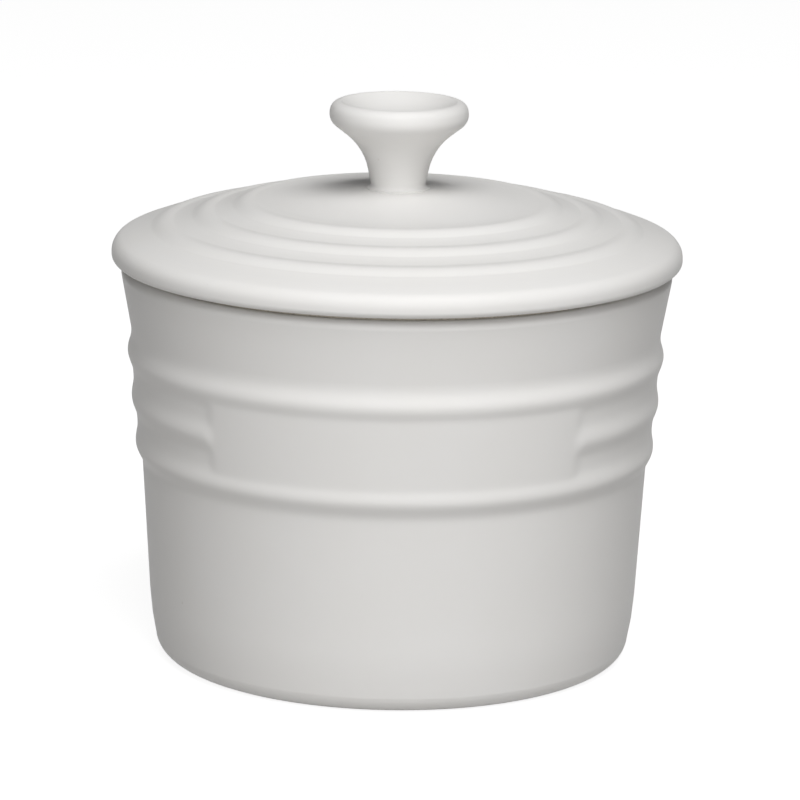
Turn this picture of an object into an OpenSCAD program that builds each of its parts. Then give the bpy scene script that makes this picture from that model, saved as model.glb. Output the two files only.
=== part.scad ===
// Condiment jar in glazed stoneware: a ribbed pot, a lid that lifts off and a knob
// that is formed by itself and set into the lid.
// Millimetres, +Z up. The origin is the centre of the foot, and the front faces -Y.

/* [Jar] */
// Height of the jar, from the foot to the flat of the rim
jar_height = 75.3; // [72:0.1:90]
// Outer diameter of the rim
rim_dia = 104.8; // [90:0.2:120]
// How far the wall leans in from the rim to the upper edge of the ribs
neck_inset = 2.1; // [0.5:0.1:3]
// How far the wall leans in over the height of the ribs
waist_inset = 2.3; // [0.5:0.1:4]
// How far the wall leans in from the ribs to the foot
base_inset = 2.2; // [0.5:0.1:4]
// Thickness of the wall at the rim
rim_wall = 5.6; // [4.8:0.2:7]
// Rounding of the rim's two edges
lip_radius = 1.5; // [0.6:0.1:1.6]
// Depth of the straight mouth that the lid's skirt drops into
mouth_depth = 10; // [8:0.5:16]
// Thickness of the wall at the lower edge of the ribs
side_wall = 4.2; // [3.6:0.2:6]
// Thickness of the wall just above the floor
heel_wall = 5; // [4:0.2:7]
// Height of the floor inside the jar
floor_height = 6; // [5:0.5:10]
// Rounding where the wall meets the floor inside
floor_radius = 9; // [4:0.5:14]

/* [Ribs] */
// Number of ribs round the wall, one above the other
rib_count = 3; // [1:1:3]
// Height of the lower edge of the ribs
rib_bottom = 37; // [30:0.5:40]
// Distance from one rib to the next
rib_pitch = 8.85; // [7:0.05:9.5]
// How far each rib stands out of the wall
rib_height = 1; // [0.8:0.05:1.4]
// Where a rib stands out most, from 0 at its lower edge to 1 at its upper edge
rib_crest = 0.45; // [0.3:0.05:0.7]
// How narrow the crests are, where 1 is an even wave
rib_sharpness = 1.7; // [1:0.1:2]
// How far the hollows between the ribs stand out of the wall
hollow_height = 0.33; // [0:0.01:0.5]
// How far the bare panel at the front stands out of the wall
panel_height = 0.62; // [0.54:0.02:0.74]
// Width of the bare panel, where the middle rib stops, in degrees
panel_angle = 82.6; // [40:0.2:120]
// Length over which the middle rib runs out at each end
rib_run_out = 2.6; // [2:0.1:8]

/* [Foot] */
// How far the wall tucks in at the foot
heel_inset = 1.2; // [0.6:0.1:2]
// Height at which the wall starts to tuck in
heel_height = 7.6; // [6:0.2:12]
// Rounding between the wall and the tucked part
heel_radius = 60; // [10:2:80]
// Rounding of the edge of the foot
foot_radius = 4; // [2:0.2:5]
// Width of the flat ring that the jar stands on
foot_width = 2.8; // [1.6:0.1:6]
// Depth of the recess
recess_depth = 1.2; // [0.6:0.2:2]

/* [Lid] */
// How far the lid stands out past the rim, all round
lid_overhang = 1.6; // [1:0.1:4]
// Width of the flat ring that rests on the rim
seat_width = 1.2; // [1:0.1:2]
// Height of that ring below the lid's underside
seat_rise = 1; // [0.5:0.1:2]
// Height of the lid's edge, from its underside to where its top slopes away
edge_height = 3.7; // [3:0.05:5]
// Rounding of the upper edge
edge_top_radius = 3; // [1:0.1:3.2]
// Rounding of the lower edge
edge_low_radius = 1.1; // [0.6:0.1:1.6]
// Rise of the rim of the lid, from its edge to the outermost ring
flange_rise = 1.6; // [1:0.05:2.5]
// Thickness of the lid over the hollow
lid_wall = 4.6; // [4.4:0.2:6]
// Gap between the skirt and the mouth, all round
skirt_gap = 1.5; // [0.8:0.1:2.5]
// Thickness of the skirt
skirt_wall = 3.5; // [2.6:0.1:5]
// Depth of the skirt below the rim
skirt_depth = 6; // [4:0.5:7.5]
// Rounding of the skirt's lower edges
skirt_radius = 1.2; // [0.4:0.1:1.2]

/* [Lid rings] */
// Number of rings on the lid
ring_count = 3; // [2:1:3]
// Width of the plain rim of the lid outside the rings
flange_width = 4.3; // [3.2:0.05:6]
// Distance from one ring to the next
ring_pitch = 7.65; // [6.5:0.05:8]
// Width of each ring
ring_width = 4.6; // [3:0.1:6.4]
// How far each ring stands out of the slope
ring_height = 0.5; // [0.2:0.05:1.2]
// How narrow the rings' crests are, where 1 is an even wave
ring_sharpness = 0.65; // [0.6:0.05:1.4]
// Drop of the slope from the disc in the middle to the outer foot of the rings
ring_fall = 6.05; // [3:0.05:7]
// How much that slope bends, where 0 is a straight cone
ring_bow = 0.1; // [0:0.05:0.6]
// Rise of the disc in the middle up to the knob
disc_rise = 2.35; // [1:0.05:4]
// Width of the flat groove round the disc
groove_width = 2; // [0.5:0.1:4]
// How much the disc hollows towards the knob, where 1 is a straight cone
disc_flare = 1.2; // [1:0.05:1.6]

/* [Knob] */
// Height of the knob above the lid
knob_height = 16.6; // [15:0.2:24]
// Diameter of the head at the lower corner of its edge, before it is rounded
head_dia = 26.6; // [24:0.2:30]
// How far the edge leans in at its top
head_taper = 0.5; // [0.4:0.1:0.8]
// Height of the head's edge
head_edge = 3.6; // [3.6:0.1:5]
// Rounding under the edge
head_low_radius = 2.6; // [1:0.1:2.6]
// Rounding over the edge
head_top_radius = 2; // [0.8:0.1:2]
// Width of the rim round the dish in the top of the head
rim_width = 1.9; // [1.9:0.1:4]
// Rounding of the dish's edge
dish_lip = 0.4; // [0.2:0.1:0.4]
// Depth of the dish
dish_depth = 3; // [0.4:0.1:3.2]
// Diameter of the stem at its foot
stem_dia = 10.1; // [9.6:0.1:12]
// Lean of the stem, away from upright, in degrees
stem_lean = 11; // [4:1:14]
// Lean of the neck under the head, away from upright, in degrees
flare_angle = 52; // [44:1:55]
// Hollow rounding between the stem and the neck
flare_radius = 11.6; // [6:0.2:12]
// How far the foot of the stem spreads on the lid
foot_spread = 1; // [0.4:0.1:1.4]
// Diameter of the tenon under the stem
tenon_dia = 7; // [5:0.2:9]
// Length of the tenon
tenon_length = 2.8; // [2:0.1:3.2]
// Gap round the tenon, filled with slip before firing
tenon_gap = 0.1; // [0.05:0.05:0.3]
// Gap under the tenon
tenon_end_gap = 0.3; // [0.1:0.1:0.6]
// How far the flat pad on the lid reaches past the foot of the stem
pad_margin = 0.6; // [0.2:0.1:2]

/* [Hidden] */
$fn = 96;
glaze = "#ecebe6";
arc_step = 12;
curve_steps = 12;
crease = 8;
front = -90;

rib_top = rib_bottom + rib_count * rib_pitch;
panel_rib = floor(rib_count / 2);
neck_radius = rim_dia / 2 - neck_inset;
waist_radius = neck_radius - waist_inset;
base_radius = waist_radius - base_inset;
mouth_radius = rim_dia / 2 - rim_wall;
foot_edge = base_radius - heel_inset;
wall_slope = atan2(rib_bottom, base_inset);
heel_run = heel_inset + heel_height / tan(wall_slope);
heel_slope = atan2(heel_height, heel_run);
foot_cut = foot_radius * tan(heel_slope / 2);
recess_radius = foot_edge - foot_cut - foot_width;
heel_length = norm([heel_run, heel_height]) - foot_cut;
heel_rounding = min(heel_radius, 0.95 * heel_length / tan((wall_slope - heel_slope) / 2));

lid_radius = rim_dia / 2 + lid_overhang;
underside = jar_height + seat_rise;
seat_middle = rim_dia / 2 - rim_wall / 2;
skirt_outer = mouth_radius - skirt_gap;
skirt_inner = skirt_outer - skirt_wall;
ring_end = lid_radius - flange_width;
ring_start = ring_end - ring_count * ring_pitch;
flange_lean = atan2(flange_rise, flange_width);
edge_rounding = min(edge_top_radius, (edge_height - edge_low_radius) / tan(45 - flange_lean / 2));
ring_foot = underside + edge_height + flange_rise;
disc_edge = ring_foot + ring_fall;
disc_top = disc_edge + disc_rise;
knob_foot_radius = stem_dia / 2 + foot_spread;
pad_radius = knob_foot_radius + pad_margin;

// A swell that rises from nothing to 1 and falls back, for t from 0 to 1
function swell(t) = (1 - cos(360 * t)) / 2;

function unit(v) = v / norm(v);

// Arc that rounds the corner b = [x, y, radius] between its neighbours a and c
function corner_arc(a, b, c) =
    let (
        corner = [b[0], b[1]],
        back = unit([a[0], a[1]] - corner),
        ahead = unit([c[0], c[1]] - corner),
        half = acos(back * ahead) / 2,
        centre = corner + unit(back + ahead) * b[2] / sin(half),
        from = corner + back * b[2] / tan(half) - centre,
        to = corner + ahead * b[2] / tan(half) - centre,
        start = atan2(from[1], from[0]),
        turn = atan2(from[0] * to[1] - from[1] * to[0], from * to),
        steps = max(1, ceil(abs(turn) / arc_step))
    )
    [for (i = [0 : steps]) centre + b[2] * [cos(start + turn * i / steps), sin(start + turn * i / steps)]];

// Closed outline through corners [x, y] that stay sharp or [x, y, radius] that are rounded
function rounded(path) =
    let (n = len(path))
    [
        for (i = [0 : n - 1])
            each len(path[i]) < 3 ? [path[i]] : corner_arc(path[(i + n - 1) % n], path[i], path[(i + 1) % n])
    ];

// Radius of the outer wall at a height, without the ribs
function wall_radius(z) = lookup(z, [
    [0, base_radius],
    [rib_bottom, waist_radius],
    [rib_top, neck_radius],
    [jar_height, rim_dia / 2]
]);

// Whether t, counted in ribs from the lowest one, lies between the first and the last crest
function between_crests(t) = t > rib_crest && t < rib_count - 1 + rib_crest;

// How far the ribs stand out of the wall, where t counts ribs and one of them can be left out
function rib_offset(t, left_out) =
    let (
        index = min(floor(t), rib_count - 1),
        hollow = between_crests(t) ? hollow_height : 0,
        rise = index == left_out ? 0 : pow(swell(pow(t - index, ln(0.5) / ln(rib_crest))), rib_sharpness)
    )
    hollow + (rib_height - hollow) * rise;

// How far the bare panel and the ribs beside it stand out of the wall
function panel_offset(t) =
    let (ribs = rib_offset(t, panel_rib))
    between_crests(t) ? pow(pow(ribs, crease) + pow(panel_height, crease), 1 / crease) : ribs;

// Point on the wall, t ribs above the lowest edge of the ribs
function wall_point(t, offset) =
    let (z = rib_bottom + t * rib_pitch)
    [wall_radius(z) + offset, z];

// Outline of the jar in the half plane, with the middle rib left out
function jar_outline() = rounded(concat(
    [
        [0, recess_depth],
        [recess_radius, recess_depth, recess_depth / 2],
        [recess_radius, 0],
        [foot_edge, 0, foot_radius],
        [wall_radius(heel_height), heel_height, heel_rounding]
    ],
    [
        for (i = [0 : rib_count * curve_steps])
            let (t = i / curve_steps)
            wall_point(t, rib_offset(t, panel_rib))
    ],
    [
        [rim_dia / 2, jar_height, lip_radius],
        [mouth_radius, jar_height, lip_radius],
        [mouth_radius, jar_height - mouth_depth],
        [waist_radius - side_wall, rib_bottom],
        [wall_radius(floor_height) - heel_wall, floor_height, floor_radius],
        [0, floor_height]
    ]
));

// Middle rib, from one edge of the front panel round the back to the other
module middle_rib() {
    points = [
        for (i = [0 : curve_steps])
            let (t = panel_rib + i / curve_steps)
            wall_point(t, rib_offset(t, rib_count))
    ];
    outline = concat(points, [wall_point(panel_rib + 1, -side_wall / 2), wall_point(panel_rib, -side_wall / 2)]);
    lean = atan2(waist_inset, rib_top - rib_bottom);
    height = rib_bottom + (panel_rib + 0.5) * rib_pitch;
    difference() {
        rotate_extrude(start = front + panel_angle / 2, angle = 360 - panel_angle)
            polygon(outline);
        for (side = [0, 1])
            mirror([side, 0, 0])
                rotate([0, 0, front + panel_angle / 2])
                    translate([wall_radius(height), 0, height])
                        rotate([0, lean, -atan2(rib_height, rib_run_out)])
                            translate([0, -rib_run_out, -rib_pitch])
                                cube([3 * rib_height, 3 * rib_run_out, 2 * rib_pitch]);
    }
}

// Bare panel at the front, between the ribs above and below it
module front_panel() {
    angle = panel_angle + 2 * atan(rib_run_out / rim_dia);
    low = rib_crest + 0.5 / curve_steps;
    span = rib_count - 1 - 1 / curve_steps;
    steps = rib_count * curve_steps;
    points = [
        for (i = [0 : steps])
            let (t = low + span * i / steps)
            wall_point(t, panel_offset(t))
    ];
    rotate_extrude(start = front - angle / 2, angle = angle)
        polygon(concat(points, [wall_point(low + span, -side_wall / 2), wall_point(low, -side_wall / 2)]));
}

// Pot with its ribs, lip, inside and foot ring
module jar_body() {
    color(glaze) {
        rotate_extrude() polygon(jar_outline());
        middle_rib();
        if (rib_count > 1) front_panel();
    }
}

// Height of the lid's slope at a radius, without the rings
function slope_height(r) =
    let (t = (r - ring_start) / (ring_end - ring_start))
    disc_edge - ring_fall * (t + ring_bow * (t * t - t));

// Points from the outermost ring in to the disc
function ring_points() = [
    [ring_end, ring_foot],
    for (k = [ring_count - 1 : -1 : 0], i = [curve_steps : -1 : 0])
        let (t = i / curve_steps, r = ring_start + k * ring_pitch + t * ring_width)
        [r, slope_height(r) + ring_height * pow(swell(t), ring_sharpness)]
];

// Points from the groove round the disc in to the pad under the knob
function disc_points() = [
    for (i = [curve_steps : -1 : 0])
        let (t = i / curve_steps)
        [pad_radius + t * (ring_start - groove_width - pad_radius), disc_edge + disc_rise * pow(1 - t, disc_flare)]
];

// Outline of the lid in the half plane
function lid_outline() = rounded(concat(
    [
        [0, disc_top - lid_wall],
        [ring_start, disc_edge - lid_wall],
        [skirt_inner, slope_height(skirt_inner) - lid_wall, skirt_wall],
        [skirt_inner, jar_height - skirt_depth, skirt_radius],
        [skirt_outer, jar_height - skirt_depth, skirt_radius],
        [skirt_outer, underside],
        [seat_middle - seat_width / 2, underside],
        [seat_middle - seat_width / 2, jar_height],
        [seat_middle + seat_width / 2, jar_height],
        [seat_middle + seat_width / 2, underside],
        [lid_radius, underside, edge_low_radius],
        [lid_radius, underside + edge_height, edge_rounding]
    ],
    ring_points(),
    disc_points(),
    [
        [tenon_dia / 2 + tenon_gap, disc_top],
        [tenon_dia / 2 + tenon_gap, disc_top - tenon_length - tenon_end_gap],
        [0, disc_top - tenon_length - tenon_end_gap]
    ]
));

// Lid with its rings, seat and skirt, and the socket for the knob
module lid() {
    color(glaze) rotate_extrude() polygon(lid_outline());
}

// Outline of the knob in the half plane
function knob_outline() =
    let (
        top = disc_top + knob_height,
        foot_top = disc_top + foot_spread / 6,
        edge_low = [head_dia / 2, top - head_edge],
        dish_radius = head_dia / 2 - head_taper - rim_width,
        foot = [stem_dia / 2, foot_top],
        lean = tan(stem_lean),
        flare = tan(flare_angle),
        neck_height = (edge_low[1] * flare - edge_low[0] + foot[0] - foot[1] * lean) / (flare - lean),
        neck = [foot[0] + (neck_height - foot[1]) * lean, neck_height],
        neck_room = (norm(neck - foot) - foot_spread) / tan((flare_angle - stem_lean) / 2)
    )
    rounded([
        [0, disc_top - tenon_length],
        [tenon_dia / 2, disc_top - tenon_length],
        [tenon_dia / 2, disc_top],
        [knob_foot_radius, disc_top],
        [knob_foot_radius, foot_top],
        [foot[0], foot[1], 0.9 * foot_spread * tan(45 - stem_lean / 2)],
        [neck[0], neck[1], min(flare_radius, neck_room)],
        [edge_low[0], edge_low[1], head_low_radius],
        [head_dia / 2 - head_taper, top, head_top_radius],
        [dish_radius, top, dish_lip],
        [dish_radius / 2, top - dish_depth, 1.5 * dish_radius],
        [0, top - dish_depth]
    ]);

// Knob with its tenon, flared neck and dished head
module lid_knob() {
    color(glaze) rotate_extrude() polygon(knob_outline());
}

jar_body();
lid();
lid_knob();
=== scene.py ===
"""Condiment jar in satin-glazed stoneware: a ribbed pot, a ringed lid and its dished knob."""

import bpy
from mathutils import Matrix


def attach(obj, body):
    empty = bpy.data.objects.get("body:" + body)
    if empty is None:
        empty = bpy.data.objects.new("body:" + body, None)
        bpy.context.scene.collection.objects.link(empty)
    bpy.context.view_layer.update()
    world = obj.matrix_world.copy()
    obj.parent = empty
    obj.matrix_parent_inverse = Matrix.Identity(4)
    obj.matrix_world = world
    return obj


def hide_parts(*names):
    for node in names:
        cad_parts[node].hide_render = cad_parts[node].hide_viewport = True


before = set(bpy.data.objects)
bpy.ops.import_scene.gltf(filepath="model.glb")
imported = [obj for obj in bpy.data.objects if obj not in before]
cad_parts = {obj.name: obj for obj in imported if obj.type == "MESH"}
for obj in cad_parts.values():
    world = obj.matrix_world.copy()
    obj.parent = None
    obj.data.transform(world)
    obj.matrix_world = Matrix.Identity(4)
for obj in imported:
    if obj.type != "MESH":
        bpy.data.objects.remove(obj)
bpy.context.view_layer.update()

import math

import bpy
from bpy.props import FloatProperty, FloatVectorProperty, IntProperty, PointerProperty
from bpy.types import Operator, Panel, PropertyGroup
from mathutils import Matrix, Vector

bl_info = {
    "name": "Condiment Jar",
    "version": (1, 0, 0),
    "blender": (4, 5, 0),
    "location": "3D View > Sidebar > Condiment Jar",
    "description": "Makes a ribbed stoneware jar with a ringed lid and a dished knob",
    "category": "Add Mesh",
}

MM = 0.001

# How finely the pieces are turned and smoothed
POT_STEPS = 360
LID_STEPS = 288
KNOB_STEPS = 144
CURVE_STEPS = 24
ARC_STEP = math.radians(7)
SMOOTH_ANGLE = math.radians(38)
MERGE_GAP = 1e-6

# Ribs, counted from 0 at the bottom, and how tightly the panel meets them
RIB_COUNT = 3
MIDDLE_RIB = 1
CREASE = 8

# Roundings in the recess and on the inner edge of the foot ring, as shares of the recess's depth
RECESS_ROUNDING = 0.6
RING_ROUNDING = 0.3
# Roundings inside the pot, under the lid's disc and round the lid's seat
MOUTH_ROUNDING = 6 * MM
INSIDE_ROUNDING = 40 * MM
CEILING_ROUNDING = 20 * MM
SEAT_ROUNDING = 0.3 * MM
# Spread of the stem's foot over its height, share of the spread that is rounded, and rounding of the
# dish over its radius
FOOT_SLOPE = 6
FOOT_FILLET = 0.9
DISH_ROUNDING = 1.5
# Height up to which the foot ring is bare, and how far below the underside the bare seat starts
BARE_HEIGHT = 0.35 * MM
SEAT_MARGIN = 0.05 * MM

# Sizes of what shows in the glaze and in the bare stoneware, and how deep the bumps are
CLOUD_SIZE = 16 * MM
PINHOLE_SPACING = 11 * MM
RIPPLE_SIZE, RIPPLE_DEPTH = 2.5 * MM, 0.02 * MM
WAVE_SIZE, WAVE_DEPTH = 12 * MM, 0.1 * MM
GRIT_SIZE, GRIT_DEPTH = 0.6 * MM, 0.05 * MM
# Radii of a pinhole's core and edge as shares of the spacing, and how much of its colour shows
PINHOLE_CORE, PINHOLE_EDGE, PINHOLE_SHARE = 0.012, 0.03, 0.3
# Roughness seen from the front and at a slant, and how much the clouds add
ROUGH_FRONT, ROUGH_SLANT, ROUGH_CLOUD = 0.52, 0.45, 0.06

# Floor: its own glow to the eye, the grey that takes the shadow, and its side
FLOOR_GLOW = 0.88
FLOOR_SHADE = 0.3
FLOOR_SIDE = 60.0
# Place and sides of each lamp, all aimed at one point on the axis
LAMPS = {
    "key": ((0.02, -0.98, 1.39), (0.9, 1.1)),
    "side": ((0.44, -0.63, 1.52), (0.8, 0.8)),
    "top": ((0.0, -0.14, 1.70), (0.8, 0.8)),
    "low": ((0.0, -1.61, 0.40), (0.8, 0.8)),
}
LAMP_AIM = Vector((0, 0, 0.06))
# Camera: a picture of this many pixels, and where the view meets the axis
IMAGE_SIDE = 800
FOCAL_PIXELS = 4715.0
MIDDLE_PIXEL = (394.7, 419.8)
SENSOR_WIDTH = 36.0
VIEW_DISTANCE = 0.9
VIEW_HEIGHT = 0.045
VIEW_ELEVATION = math.radians(13.51)
VIEW_ROLL = math.radians(0.846)
VIEW_REACH = 100.0


def linear(code):
    """Turns an sRGB hex colour into linear red, green and blue."""
    values = [int(code[i : i + 2], 16) / 255 for i in (1, 3, 5)]
    return tuple(v / 12.92 if v <= 0.04045 else ((v + 0.055) / 1.055) ** 2.4 for v in values)


def length(name, millimetres, description):
    """A length that shows in the sidebar in the scene's unit."""
    return FloatProperty(
        name=name,
        description=description,
        default=millimetres * MM,
        min=0,
        precision=5,
        unit="LENGTH",
        subtype="DISTANCE",
    )


def angle(name, degrees, description):
    """An angle that shows in the sidebar in degrees."""
    return FloatProperty(
        name=name, description=description, default=math.radians(degrees), unit="ROTATION", subtype="ANGLE"
    )


def amount(name, value, description):
    """A plain number of zero or more."""
    return FloatProperty(name=name, description=description, default=value, min=0)


def power(name, watts, description):
    """The power of a lamp."""
    return FloatProperty(name=name, description=description, default=watts, min=0, unit="POWER")


def colour(name, code, description):
    """A colour that is written as sRGB hex."""
    return FloatVectorProperty(
        name=name, description=description, default=linear(code), min=0, max=1, size=3, subtype="COLOR"
    )


class PotSizes(PropertyGroup):
    """Sizes of the pot."""

    height: length("Height", 75.3, "From the foot to the flat of the rim")
    rim_radius: length("Rim radius", 52.4, "Outer radius of the rim")
    neck_inset: length("Neck inset", 2.1, "How far the wall leans in from the rim to the ribs")
    waist_inset: length("Waist inset", 2.3, "How far the wall leans in over the height of the ribs")
    base_inset: length("Base inset", 2.2, "How far the wall leans in from the ribs to the foot")
    rim_wall: length("Rim wall", 5.6, "Thickness of the wall at the rim")
    lip_radius: length("Lip rounding", 1.5, "Rounding of the rim's two edges")
    mouth_depth: length("Mouth depth", 10.0, "Depth of the straight mouth")
    side_wall: length("Side wall", 4.2, "Thickness of the wall at the lower edge of the ribs")
    heel_wall: length("Heel wall", 5.0, "Thickness of the wall just above the floor")
    floor_height: length("Floor height", 6.0, "Height of the floor inside")
    floor_radius: length("Floor rounding", 9.0, "Rounding where the wall meets the floor inside")
    rib_bottom: length("Rib bottom", 37.0, "Height of the lower edge of the ribs")
    rib_pitch: length("Rib pitch", 8.85, "Distance from one rib to the next")
    rib_height: length("Rib height", 1.0, "How far each rib stands out of the wall")
    rib_crest: amount("Rib crest", 0.45, "Where a rib stands out most, from 0 at its foot to 1 at its top")
    rib_sharpness: amount("Rib sharpness", 1.7, "How narrow the crests are, where 1 is an even wave")
    hollow_height: length("Hollow height", 0.33, "How far the hollows between the ribs stand out of the wall")
    panel_height: length("Panel height", 0.62, "How far the bare panel at the front stands out of the wall")
    panel_angle: angle("Panel angle", 82.6, "Width of the bare panel, where the middle rib stops")
    run_out: length("Run-out", 2.6, "Length over which the middle rib rises at each end")
    heel_inset: length("Heel inset", 1.2, "How far the wall tucks in at the foot")
    heel_height: length("Heel height", 7.6, "Height at which the wall starts to tuck in")
    heel_radius: length("Heel rounding", 60.0, "Rounding between the wall and the tucked part")
    foot_radius: length("Foot rounding", 4.0, "Rounding of the edge of the foot")
    foot_width: length("Foot width", 2.8, "Width of the bare ring that the pot stands on")
    recess_depth: length("Recess depth", 1.2, "Depth of the recess under the pot")


class LidSizes(PropertyGroup):
    """Sizes of the lid."""

    radius: length("Radius", 53.97, "Outer radius of the lid")
    seat_rise: length("Seat rise", 1.0, "Height of the seat ring below the lid's underside")
    seat_radius: length("Seat radius", 49.6, "Radius of the middle of the seat ring")
    seat_width: length("Seat width", 1.2, "Width of the seat ring that rests on the rim")
    edge_height: length("Edge height", 3.7, "From the underside to where the top slopes away")
    edge_top_radius: length("Upper rounding", 3.0, "Rounding of the upper edge")
    edge_low_radius: length("Lower rounding", 1.1, "Rounding of the lower edge")
    flange_rise: length("Rim rise", 1.6, "Rise of the rim from its edge to the outermost ring")
    flange_end: length("Rim end", 49.7, "Radius at which the rim ends and the rings begin")
    wall: length("Wall", 4.6, "Thickness over the hollow")
    skirt_radius: length("Skirt radius", 45.3, "Outer radius of the skirt")
    skirt_wall: length("Skirt wall", 3.5, "Thickness of the skirt")
    skirt_depth: length("Skirt depth", 6.0, "Depth of the skirt below the pot's rim")
    skirt_rounding: length("Skirt rounding", 1.2, "Rounding of the skirt's lower edges")
    ring_count: IntProperty(name="Rings", description="Number of rings", default=3, min=1, max=4)
    ring_pitch: length("Ring pitch", 7.65, "Distance from one ring to the next")
    ring_width: length("Ring width", 4.6, "Width of each ring")
    ring_height: length("Ring height", 0.5, "How far each ring stands out of the slope")
    ring_sharpness: amount("Ring sharpness", 0.65, "How narrow the rings' crests are, where 1 is an even wave")
    ring_fall: length("Ring fall", 6.05, "Drop of the slope from the disc to the outer foot of the rings")
    ring_bow: amount("Ring bow", 0.1, "How much that slope bends, where 0 is a straight cone")
    disc_rise: length("Disc rise", 2.35, "Rise of the disc in the middle up to the knob")
    groove_width: length("Groove width", 2.0, "Width of the flat groove round the disc")
    disc_flare: amount("Disc flare", 1.2, "How much the disc hollows to the knob, where 1 is a straight cone")
    pad_radius: length("Pad radius", 6.6, "Radius of the flat pad under the knob")
    socket_radius: length("Socket radius", 3.6, "Radius of the socket for the knob's tenon")
    socket_depth: length("Socket depth", 3.1, "Depth of the socket")


class KnobSizes(PropertyGroup):
    """Sizes of the knob."""

    height: length("Height", 16.6, "Height above the lid")
    head_radius: length("Head radius", 13.3, "Radius at the foot of the head's edge, before rounding")
    head_taper: length("Head taper", 0.5, "How far the edge leans in at its top")
    head_edge: length("Head edge", 3.6, "Height of the head's edge")
    head_low_radius: length("Lower rounding", 2.7, "Rounding under the edge")
    head_top_radius: length("Upper rounding", 2.0, "Rounding over the edge")
    rim_width: length("Rim width", 1.9, "Width of the rim round the dish")
    dish_lip: length("Dish lip", 0.4, "Rounding of the dish's edge")
    dish_depth: length("Dish depth", 3.0, "Depth of the dish")
    stem_radius: length("Stem radius", 5.05, "Radius of the stem at its foot")
    stem_lean: angle("Stem lean", 11.0, "Lean of the stem away from upright")
    flare_angle: angle("Flare angle", 52.0, "Lean of the neck under the head away from upright")
    flare_radius: length("Flare rounding", 11.6, "Hollow rounding between the stem and the neck")
    foot_spread: length("Foot spread", 1.0, "How far the foot of the stem spreads on the lid")
    tenon_radius: length("Tenon radius", 3.5, "Radius of the tenon under the stem")
    tenon_length: length("Tenon length", 2.8, "Length of the tenon")


class GlazeLook(PropertyGroup):
    """Colours of the glaze and of the bare stoneware."""

    glaze: colour("Glaze", "#e7e6e4", "Satin glaze where it lies evenly")
    glaze_thin: colour("Thin glaze", "#e5e3df", "Glaze where it runs thin over a crest")
    glaze_deep: colour("Deep glaze", "#e9e8e7", "Glaze where it pools in a hollow")
    pinhole: colour("Pinhole", "#b9b3a8", "Specks where the glaze opened in the kiln")
    body: colour("Bare body", "#c8c1b5", "Bare stoneware of the foot ring and the lid's seat")
    body_grit: colour("Grit", "#90887b", "Sand grains in the bare stoneware")


class StageLook(PropertyGroup):
    """Floor, lamps and surrounding light."""

    floor: colour("Floor", "#ffffff", "Floor as the camera sees it")
    bounce: colour("Bounce", "#b1b0af", "Floor as it sends light back to the jar")
    key: power("Key", 16.0, "Power of the large lamp in front and above")
    side: power("Side", 8.0, "Power of the high lamp on the right")
    top: power("Top", 1.6, "Power of the lamp overhead")
    low: power("Low", 8.0, "Power of the low lamp in front")
    surround: amount("Surround", 0.01, "Strength of the light from all sides")
    mirrored: amount("Mirrored surround", 0.3, "Strength of the white surround in reflections")


class CondimentJar(PropertyGroup):
    """Everything that can be changed on the jar."""

    pot: PointerProperty(type=PotSizes)
    lid: PointerProperty(type=LidSizes)
    knob: PointerProperty(type=KnobSizes)
    glaze: PointerProperty(type=GlazeLook)
    stage: PointerProperty(type=StageLook)


def swell(t):
    """Rises from nothing to 1 and falls back, for t from 0 to 1."""
    return (1 - math.cos(2 * math.pi * t)) / 2


def corner_arc(before, corner, after):
    """Start, centre, end and turn of the arc that rounds a corner (r, z, radius)."""
    tip = Vector(corner[:2])
    back = (Vector(before[:2]) - tip).normalized()
    ahead = (Vector(after[:2]) - tip).normalized()
    half = back.angle(ahead) / 2
    reach = corner[2] / math.tan(half)
    centre = tip + (back + ahead).normalized() * corner[2] / math.sin(half)
    start, end = tip + back * reach, tip + ahead * reach
    a, b = start - centre, end - centre
    return start, centre, end, math.atan2(a.x * b.y - a.y * b.x, a.dot(b))


def turn_piece(name, path, steps):
    """Draws an outline in the half plane and spins it round the Z axis.

    The outline starts as a plane merged into one vertex. Straight runs are extruded, and corners
    with a radius are spun round the middle of their arc. Both ends lie on the axis.
    """
    bpy.ops.object.select_all(action="DESELECT")
    bpy.ops.mesh.primitive_plane_add(size=MM, location=(0, 0, 0))
    piece = bpy.context.object
    piece.name = piece.data.name = name
    bpy.ops.object.mode_set(mode="EDIT")
    bpy.ops.mesh.select_mode(type="VERT")
    bpy.ops.mesh.select_all(action="SELECT")
    bpy.ops.mesh.merge(type="CENTER")
    place = Vector(path[0][:2])
    bpy.ops.transform.translate(value=(place.x, 0, place.y))
    for before, corner, after in zip(path, path[1:], path[2:] + [path[-1]]):
        rounding = len(corner) > 2 and corner[2] > 0
        start = end = Vector(corner[:2])
        if rounding:
            start, centre, end, turn = corner_arc(before, corner, after)
        run = start - place
        if run.length > MERGE_GAP:
            bpy.ops.mesh.extrude_vertices_move(TRANSFORM_OT_translate={"value": (run.x, 0, run.y)})
        if rounding:
            steps_round = max(2, math.ceil(abs(turn) / ARC_STEP))
            bpy.ops.mesh.spin(steps=steps_round, angle=turn, center=(centre.x, 0, centre.y), axis=(0, 1, 0))
        place = end
    bpy.ops.mesh.select_all(action="SELECT")
    bpy.ops.mesh.spin(steps=steps, angle=2 * math.pi, center=(0, 0, 0), axis=(0, 0, 1))
    bpy.ops.mesh.select_all(action="SELECT")
    bpy.ops.mesh.remove_doubles(threshold=MERGE_GAP)
    bpy.ops.mesh.normals_make_consistent(inside=False)
    bpy.ops.object.mode_set(mode="OBJECT")
    return piece


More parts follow.
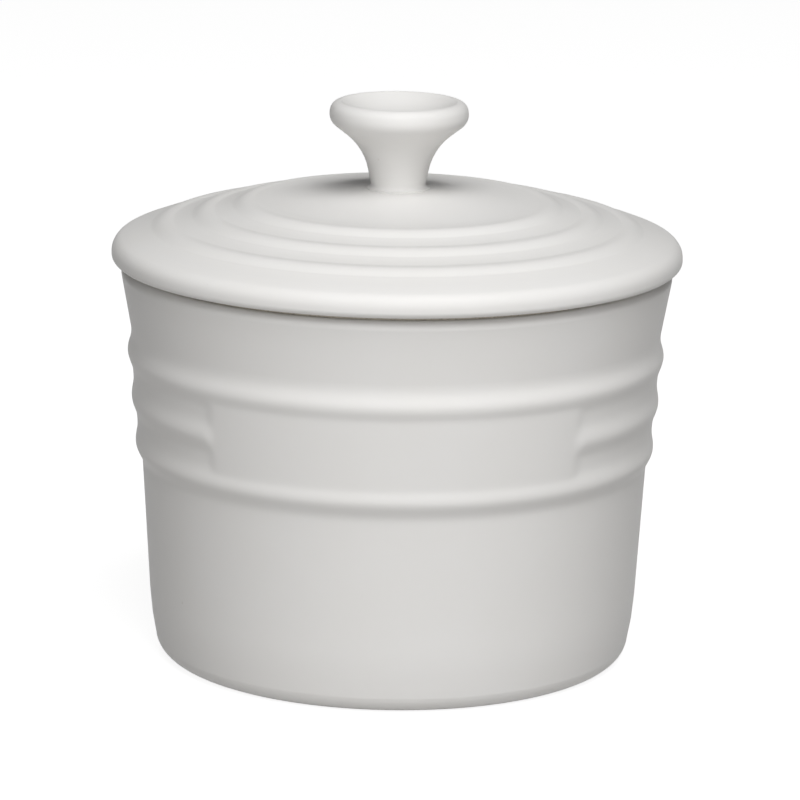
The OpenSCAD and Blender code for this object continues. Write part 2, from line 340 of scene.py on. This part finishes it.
def finish_piece(piece, body, cad_node):
    """Smooths a piece, sets it on its CAD body and hides the CAD node that it stands for."""
    bpy.ops.object.select_all(action="DESELECT")
    piece.select_set(True)
    bpy.context.view_layer.objects.active = piece
    bpy.ops.object.shade_smooth_by_angle(angle=SMOOTH_ANGLE)
    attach(piece, body)
    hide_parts(cad_node)


def wall_radius(pot, z):
    """Radius of the pot's outer wall at a height, without the ribs."""
    neck = pot.rim_radius - pot.neck_inset
    waist = neck - pot.waist_inset
    rows = [
        (0, waist - pot.base_inset),
        (pot.rib_bottom, waist),
        (pot.rib_bottom + RIB_COUNT * pot.rib_pitch, neck),
        (pot.height, pot.rim_radius),
    ]
    for (z0, r0), (z1, r1) in zip(rows, rows[1:]):
        if z <= z1:
            return r0 + (r1 - r0) * (z - z0) / (z1 - z0)
    return rows[-1][1]


def between_crests(pot, t):
    """Whether a height, counted in ribs, lies between the crests of the lowest and the highest rib."""
    return pot.rib_crest < t < RIB_COUNT - 1 + pot.rib_crest


def rib_offset(pot, z, middle):
    """How far the ribs stand out of the wall at a height, with or without the middle one."""
    t = (z - pot.rib_bottom) / pot.rib_pitch
    if not 0 < t < RIB_COUNT:
        return 0
    hollow = pot.hollow_height if between_crests(pot, t) else 0
    if MIDDLE_RIB < t < MIDDLE_RIB + 1 and not middle:
        return hollow
    skew = math.log(0.5) / math.log(pot.rib_crest)
    return hollow + (pot.rib_height - hollow) * swell((t % 1) ** skew) ** pot.rib_sharpness


def panel_offset(pot, z):
    """How far the front stands out of the wall at a height, with the bare panel between two ribs."""
    ribs = rib_offset(pot, z, False)
    if not between_crests(pot, (z - pot.rib_bottom) / pot.rib_pitch):
        return ribs
    return (ribs**CREASE + pot.panel_height**CREASE) ** (1 / CREASE)


def pot_outline(pot):
    """Outline of the pot in the half plane, with the bare panel all round."""
    foot_edge = wall_radius(pot, 0) - pot.heel_inset
    heel_turn = math.atan2(pot.heel_height, wall_radius(pot, pot.heel_height) - foot_edge)
    recess = foot_edge - pot.foot_radius * math.tan(heel_turn / 2) - pot.foot_width
    mouth = pot.rim_radius - pot.rim_wall
    path = [
        (0, pot.recess_depth),
        (recess, pot.recess_depth, pot.recess_depth * RECESS_ROUNDING),
        (recess, 0, pot.recess_depth * RING_ROUNDING),
        (foot_edge, 0, pot.foot_radius),
        (wall_radius(pot, pot.heel_height), pot.heel_height, pot.heel_radius),
    ]
    for i in range(RIB_COUNT * CURVE_STEPS):
        z = pot.rib_bottom + i / CURVE_STEPS * pot.rib_pitch
        path.append((wall_radius(pot, z) + panel_offset(pot, z), z))
    top = pot.rib_bottom + RIB_COUNT * pot.rib_pitch
    path += [
        (wall_radius(pot, top), top),
        (pot.rim_radius, pot.height, pot.lip_radius),
        (mouth, pot.height, pot.lip_radius),
        (mouth, pot.height - pot.mouth_depth, MOUTH_ROUNDING),
        (wall_radius(pot, pot.rib_bottom) - pot.side_wall, pot.rib_bottom, INSIDE_ROUNDING),
        (wall_radius(pot, pot.floor_height) - pot.heel_wall, pot.floor_height, pot.floor_radius),
        (0, pot.floor_height),
    ]
    return path


def press_ribs(piece, pot):
    """Presses the middle rib out and the hollows beside it in, everywhere but in the front panel."""
    bpy.context.view_layer.objects.active = piece
    for name, way in (("middle_rib", 1), ("hollows", -1)):
        group = piece.vertex_groups.new(name=name)
        for vertex in piece.data.vertices:
            x, y, z = vertex.co
            r = math.hypot(x, y)
            change = way * (rib_offset(pot, z, True) - panel_offset(pot, z)) / pot.rib_height
            from_panel = (math.atan2(abs(x), -y) - pot.panel_angle / 2) * r / pot.run_out
            if change > 0 and from_panel > 0 and r > wall_radius(pot, z) - pot.rib_height:
                group.add([vertex.index], change * swell(min(from_panel, 1) / 2), "REPLACE")
        press = piece.modifiers.new("Press", "DISPLACE")
        press.vertex_group = group.name
        press.mid_level = 0
        press.strength = way * pot.rib_height
        bpy.ops.object.modifier_apply(modifier=press.name)
        piece.vertex_groups.clear()


def slope_height(lid, z, r):
    """Height of the lid's slope at a radius, without the rings, where z is the edge of the disc."""
    width = lid.ring_count * lid.ring_pitch
    t = (r - lid.flange_end + width) / width
    return z - lid.ring_fall * (t + lid.ring_bow * (t * t - t))


def lid_levels(pot, lid):
    """Heights of the lid's underside, the edge of its disc and its pad."""
    underside = pot.height + lid.seat_rise
    disc_edge = underside + lid.edge_height + lid.flange_rise + lid.ring_fall
    return underside, disc_edge, disc_edge + lid.disc_rise


def lid_outline(pot, lid):
    """Outline of the lid in the half plane."""
    underside, disc_edge, disc_top = lid_levels(pot, lid)
    ring_start = lid.flange_end - lid.ring_count * lid.ring_pitch
    skirt_inner = lid.skirt_radius - lid.skirt_wall
    skirt_end = pot.height - lid.skirt_depth
    seat_in = lid.seat_radius - lid.seat_width / 2
    seat_out = lid.seat_radius + lid.seat_width / 2
    path = [
        (0, disc_top - lid.wall),
        (ring_start, disc_edge - lid.wall, CEILING_ROUNDING),
        (skirt_inner, slope_height(lid, disc_edge, skirt_inner) - lid.wall, lid.skirt_wall),
        (skirt_inner, skirt_end, lid.skirt_rounding),
        (lid.skirt_radius, skirt_end, lid.skirt_rounding),
        (lid.skirt_radius, underside, 2 * SEAT_ROUNDING),
        (seat_in, underside, SEAT_ROUNDING),
        (seat_in, pot.height, SEAT_ROUNDING),
        (seat_out, pot.height, SEAT_ROUNDING),
        (seat_out, underside, SEAT_ROUNDING),
        (lid.radius, underside, lid.edge_low_radius),
        (lid.radius, underside + lid.edge_height, lid.edge_top_radius),
        (lid.flange_end, slope_height(lid, disc_edge, lid.flange_end)),
    ]
    for ring in reversed(range(lid.ring_count)):
        for i in range(CURVE_STEPS, -1, -1):
            t = i / CURVE_STEPS
            r = ring_start + ring * lid.ring_pitch + t * lid.ring_width
            bead = lid.ring_height * swell(t) ** lid.ring_sharpness
            path.append((r, slope_height(lid, disc_edge, r) + bead))
    for i in range(CURVE_STEPS, -1, -1):
        t = i / CURVE_STEPS
        r = lid.pad_radius + t * (ring_start - lid.groove_width - lid.pad_radius)
        path.append((r, disc_edge + lid.disc_rise * (1 - t) ** lid.disc_flare))
    path += [
        (lid.socket_radius, disc_top),
        (lid.socket_radius, disc_top - lid.socket_depth),
        (0, disc_top - lid.socket_depth),
    ]
    return path


def knob_outline(knob, base):
    """Outline of the knob in the half plane, where base is the height of the pad that it stands on."""
    top = base + knob.height
    edge_low = Vector((knob.head_radius, top - knob.head_edge))
    foot = Vector((knob.stem_radius, base + knob.foot_spread / FOOT_SLOPE))
    lean, flare = math.tan(knob.stem_lean), math.tan(knob.flare_angle)
    neck_z = (edge_low.y * flare - edge_low.x + foot.x - foot.y * lean) / (flare - lean)
    neck = Vector((foot.x + (neck_z - foot.y) * lean, neck_z))
    foot_radius = knob.stem_radius + knob.foot_spread
    dish = knob.head_radius - knob.head_taper - knob.rim_width
    return [
        (0, base - knob.tenon_length),
        (knob.tenon_radius, base - knob.tenon_length),
        (knob.tenon_radius, base),
        (foot_radius, base),
        (foot_radius, foot.y),
        (foot.x, foot.y, FOOT_FILLET * knob.foot_spread * math.tan(math.pi / 4 - knob.stem_lean / 2)),
        (neck.x, neck.y, knob.flare_radius),
        (edge_low.x, edge_low.y, knob.head_low_radius),
        (knob.head_radius - knob.head_taper, top, knob.head_top_radius),
        (dish, top, knob.dish_lip),
        (dish / 2, top - knob.dish_depth, DISH_ROUNDING * dish),
        (0, top - knob.dish_depth),
    ]


def add_node(tree, kind, inputs=None, **settings):
    """Adds a node, sets it up, and fills its inputs with values or with other nodes' outputs."""
    node = tree.nodes.new(kind)
    for key, value in settings.items():
        setattr(node, key, value)
    for key, value in (inputs or {}).items():
        if isinstance(value, bpy.types.NodeSocket):
            tree.links.new(value, node.inputs[key])
        else:
            node.inputs[key].default_value = value
    return node


def new_material(name):
    """A material with an empty node tree."""
    material = bpy.data.materials.new(name)
    material.use_nodes = True
    material.node_tree.nodes.clear()
    return material, material.node_tree


def noise(tree, place, size, detail, roughness=0.5):
    """Noise with blotches of a real size."""
    inputs = {"Vector": place, "Scale": 1 / size, "Detail": detail, "Roughness": roughness}
    return add_node(tree, "ShaderNodeTexNoise", inputs).outputs["Fac"]


def blend(tree, share, first, second):
    """Mixes two colours."""
    return add_node(tree, "ShaderNodeMix", {0: share, 6: first, 7: second}, data_type="RGBA").outputs[2]


def spread(tree, value, low, high, at_low, at_high):
    """Maps the values from low to high onto those from at_low to at_high, and stops there."""
    inputs = {"Value": value, "From Min": low, "From Max": high, "To Min": at_low, "To Max": at_high}
    return add_node(tree, "ShaderNodeMapRange", inputs).outputs["Result"]


def combine(tree, operation, *values):
    """Works out a sum or the like of up to three values."""
    return add_node(tree, "ShaderNodeMath", dict(enumerate(values)), operation=operation).outputs[0]


def bump(tree, height, strength, depth, **inputs):
    """Tilts the surface along a height."""
    inputs = {"Height": height, "Strength": strength, "Distance": depth, **inputs}
    return add_node(tree, "ShaderNodeBump", inputs).outputs["Normal"]


def satin_glaze(look):
    """White satin glaze, dipped and fired on stoneware.

    It gives the eye a soft, slightly warm white with wide dim highlights, a faint cloudiness, a skin that
    ripples a little like orange peel, and a few pinholes.
    """
    material = bpy.data.materials.get("satin_glaze")
    if material:
        return material
    material, tree = new_material("satin_glaze")
    place = add_node(tree, "ShaderNodeTexCoord").outputs["Object"]
    # clouds, half as strong as their two colours
    cloud = noise(tree, place, CLOUD_SIZE, detail=3.0, roughness=0.55)
    tone = blend(tree, cloud, (*look.glaze_thin, 1), (*look.glaze_deep, 1))
    tone = blend(tree, 0.5, tone, (*look.glaze, 1))
    # scattered pinholes
    cells = {"Vector": place, "Scale": 1 / PINHOLE_SPACING, "Randomness": 1.0}
    distance = add_node(tree, "ShaderNodeTexVoronoi", cells).outputs["Distance"]
    hole = spread(tree, distance, PINHOLE_CORE, PINHOLE_EDGE, PINHOLE_SHARE, 0.0)
    skin = blend(tree, hole, tone, (*look.pinhole, 1))
    # the skin mirrors its surroundings a little more clearly at a slant
    slant = add_node(tree, "ShaderNodeLayerWeight", {"Blend": 0.5}).outputs["Facing"]
    satin = spread(tree, slant, 0.5, 0.85, ROUGH_FRONT, ROUGH_SLANT)
    gloss = combine(tree, "MULTIPLY_ADD", cloud, ROUGH_CLOUD, satin)
    # fine ripples like orange peel, on slow waves from the dipping
    peel = bump(tree, noise(tree, place, RIPPLE_SIZE, detail=2.0), 0.5, RIPPLE_DEPTH)
    coat = bump(tree, noise(tree, place, WAVE_SIZE, detail=1.0), 0.5, WAVE_DEPTH, Normal=peel)
    shader = add_node(
        tree,
        "ShaderNodeBsdfPrincipled",
        {"Base Color": skin, "Roughness": gloss, "IOR": 1.5, "Specular IOR Level": 0.25, "Normal": coat},
    )
    add_node(tree, "ShaderNodeOutputMaterial", {"Surface": shader.outputs["BSDF"]})
    return material


def bare_stoneware(look):
    """Bare stoneware, wiped free of glaze before firing.

    It gives the eye a dry buff ring with fine sand grains and no shine.
    """
    material = bpy.data.materials.get("bare_stoneware")
    if material:
        return material
    material, tree = new_material("bare_stoneware")
    place = add_node(tree, "ShaderNodeTexCoord").outputs["Object"]
    # sand grains, darker than the clay
    grit = noise(tree, place, GRIT_SIZE, detail=4.0, roughness=0.6)
    share = spread(tree, grit, 0.5, 0.75, 0.0, 0.8)
    skin = blend(tree, share, (*look.body, 1), (*look.body_grit, 1))
    grain = bump(tree, grit, 0.6, GRIT_DEPTH)
    shader = add_node(
        tree,
        "ShaderNodeBsdfPrincipled",
        {"Base Color": skin, "Roughness": 0.9, "Specular IOR Level": 0.3, "Normal": grain},
    )
    add_node(tree, "ShaderNodeOutputMaterial", {"Surface": shader.outputs["BSDF"]})
    return material


def glaze_piece(piece, look, is_bare=None):
    """Glazes a piece, and leaves the faces bare whose centres the test picks."""
    piece.data.materials.append(satin_glaze(look))
    if is_bare:
        piece.data.materials.append(bare_stoneware(look))
        for face in piece.data.polygons:
            face.material_index = 1 if is_bare(face.center) else 0


class CONDIMENT_OT_pot(Operator):
    """Makes the ribbed pot"""

    bl_idname = "condiment_jar.pot"
    bl_label = "Pot"
    bl_options = {"REGISTER", "UNDO"}

    def execute(self, context):
        jar = context.scene.condiment_jar
        piece = turn_piece("pot", pot_outline(jar.pot), POT_STEPS)
        press_ribs(piece, jar.pot)
        glaze_piece(piece, jar.glaze, lambda centre: centre.z < BARE_HEIGHT)
        finish_piece(piece, "jar", "jar_body")
        return {"FINISHED"}


class CONDIMENT_OT_lid(Operator):
    """Makes the lid with its rings, seat and skirt"""

    bl_idname = "condiment_jar.lid"
    bl_label = "Lid"
    bl_options = {"REGISTER", "UNDO"}

    def execute(self, context):
        jar = context.scene.condiment_jar
        lid = jar.lid
        underside = lid_levels(jar.pot, lid)[0]
        piece = turn_piece("lid_top", lid_outline(jar.pot, lid), LID_STEPS)

        def is_seat(centre):
            r = math.hypot(centre.x, centre.y)
            return abs(r - lid.seat_radius) < lid.seat_width and centre.z < underside - SEAT_MARGIN

        glaze_piece(piece, jar.glaze, is_seat)
        finish_piece(piece, "lid", "lid")
        return {"FINISHED"}


class CONDIMENT_OT_knob(Operator):
    """Makes the dished knob that stands on the lid"""

    bl_idname = "condiment_jar.knob"
    bl_label = "Knob"
    bl_options = {"REGISTER", "UNDO"}

    def execute(self, context):
        jar = context.scene.condiment_jar
        base = lid_levels(jar.pot, jar.lid)[2]
        piece = turn_piece("knob", knob_outline(jar.knob, base), KNOB_STEPS)
        glaze_piece(piece, jar.glaze)
        finish_piece(piece, "lid", "lid_knob")
        return {"FINISHED"}


def seen_rays(tree):
    """Whether the camera looks straight at a thing, and whether it sees it mirrored or through glass."""
    path = add_node(tree, "ShaderNodeLightPath").outputs
    return path["Is Camera Ray"], combine(tree, "MAXIMUM", path["Is Glossy Ray"], path["Is Transmission Ray"])


def pale_floor(look):
    """Plain pale floor: white to the eye, with the jar's shadow on it, and a softer grey to other light."""
    material, tree = new_material("pale_floor")
    seen = combine(tree, "MAXIMUM", *seen_rays(tree))
    bounce = add_node(tree, "ShaderNodeBsdfDiffuse", {"Color": (*look.bounce, 1)})
    glow = add_node(tree, "ShaderNodeEmission", {"Color": (*look.floor, 1), "Strength": FLOOR_GLOW})
    shaded = add_node(tree, "ShaderNodeBsdfDiffuse", {"Color": (FLOOR_SHADE, FLOOR_SHADE, FLOOR_SHADE, 1)})
    white = add_node(tree, "ShaderNodeAddShader", {0: glow.outputs[0], 1: shaded.outputs[0]})
    mixed = add_node(tree, "ShaderNodeMixShader", {0: seen, 1: bounce.outputs[0], 2: white.outputs[0]})
    add_node(tree, "ShaderNodeOutputMaterial", {"Surface": mixed.outputs[0]})
    return material


def hang_lamps(look):
    """Hangs the lamps and aims them at the jar."""
    for name, (spot, sides) in LAMPS.items():
        turn = (LAMP_AIM - Vector(spot)).to_track_quat("-Z", "Y").to_euler()
        bpy.ops.object.light_add(type="AREA", location=spot, rotation=turn)
        lamp = bpy.context.object
        lamp.name = name
        lamp.data.shape = "RECTANGLE"
        lamp.data.size, lamp.data.size_y = sides
        lamp.data.energy = getattr(look, name)
        lamp.visible_camera = False


def light_surround(scene, look):
    """Surrounds the jar with white to the eye, with a dimmer white in reflections and with hardly any light."""
    world = bpy.data.worlds.new("surround")
    world.use_nodes = True
    tree = world.node_tree
    tree.nodes.clear()
    seen, mirrored = seen_rays(tree)
    shown = combine(tree, "MULTIPLY_ADD", mirrored, look.mirrored, seen)
    level = combine(tree, "MAXIMUM", shown, look.surround)
    sky = add_node(tree, "ShaderNodeBackground", {"Color": (1, 1, 1, 1), "Strength": level})
    add_node(tree, "ShaderNodeOutputWorld", {"Surface": sky.outputs[0]})
    scene.world = world


def set_camera(scene):
    """Sets up the camera in front of the jar, looking down on it and rolled a little."""
    e = VIEW_ELEVATION
    spot = (0, -VIEW_DISTANCE * math.cos(e), VIEW_HEIGHT + VIEW_DISTANCE * math.sin(e))
    turn = Matrix.Rotation(math.pi / 2 - e, 3, "X") @ Matrix.Rotation(VIEW_ROLL, 3, "Z")
    bpy.ops.object.camera_add(location=spot, rotation=turn.to_euler())
    camera = bpy.context.object
    camera.name = "camera"
    camera.data.sensor_width = SENSOR_WIDTH
    camera.data.lens = FOCAL_PIXELS / IMAGE_SIDE * SENSOR_WIDTH
    camera.data.shift_x = (IMAGE_SIDE / 2 - MIDDLE_PIXEL[0]) / IMAGE_SIDE
    camera.data.shift_y = (MIDDLE_PIXEL[1] - IMAGE_SIDE / 2) / IMAGE_SIDE
    camera.data.clip_end = VIEW_REACH
    scene.camera = camera


class CONDIMENT_OT_stage(Operator):
    """Makes the floor, the lamps, the surrounding light and the camera"""

    bl_idname = "condiment_jar.stage"
    bl_label = "Stage"
    bl_options = {"REGISTER", "UNDO"}

    def execute(self, context):
        look = context.scene.condiment_jar.stage
        bpy.ops.object.select_all(action="DESELECT")
        bpy.ops.mesh.primitive_plane_add(size=FLOOR_SIDE, location=(0, 0, 0))
        floor = context.object
        floor.name = "floor"
        floor.data.materials.append(pale_floor(look))
        hang_lamps(look)
        light_surround(context.scene, look)
        context.scene.view_settings.view_transform = "Standard"
        set_camera(context.scene)
        return {"FINISHED"}


class CONDIMENT_PT_sidebar(Panel):
    """Lists the pieces and their sizes."""

    bl_idname = "CONDIMENT_PT_sidebar"
    bl_label = "Condiment Jar"
    bl_space_type = "VIEW_3D"
    bl_region_type = "UI"
    bl_category = "Condiment Jar"

    def draw(self, context):
        jar = context.scene.condiment_jar
        for operator, group in (
            (CONDIMENT_OT_pot, jar.pot),
            (CONDIMENT_OT_lid, jar.lid),
            (CONDIMENT_OT_knob, jar.knob),
            (None, jar.glaze),
            (CONDIMENT_OT_stage, jar.stage),
        ):
            box = self.layout.box()
            if operator:
                box.operator(operator.bl_idname)
            for key in group.__annotations__:
                box.prop(group, key)


CLASSES = (
    PotSizes,
    LidSizes,
    KnobSizes,
    GlazeLook,
    StageLook,
    CondimentJar,
    CONDIMENT_OT_pot,
    CONDIMENT_OT_lid,
    CONDIMENT_OT_knob,
    CONDIMENT_OT_stage,
    CONDIMENT_PT_sidebar,
)


def register():
    """Makes the classes and the jar's settings known to Blender."""
    for item in CLASSES:
        bpy.utils.register_class(item)
    bpy.types.Scene.condiment_jar = PointerProperty(type=CondimentJar)


def unregister():
    """Takes the settings and the classes away again."""
    del bpy.types.Scene.condiment_jar
    for item in reversed(CLASSES):
        bpy.utils.unregister_class(item)


def main():
    """Makes the whole jar on its stage."""
    register()
    bpy.ops.condiment_jar.pot()
    bpy.ops.condiment_jar.lid()
    bpy.ops.condiment_jar.knob()
    bpy.ops.condiment_jar.stage()


if __name__ == "__main__":
    main()
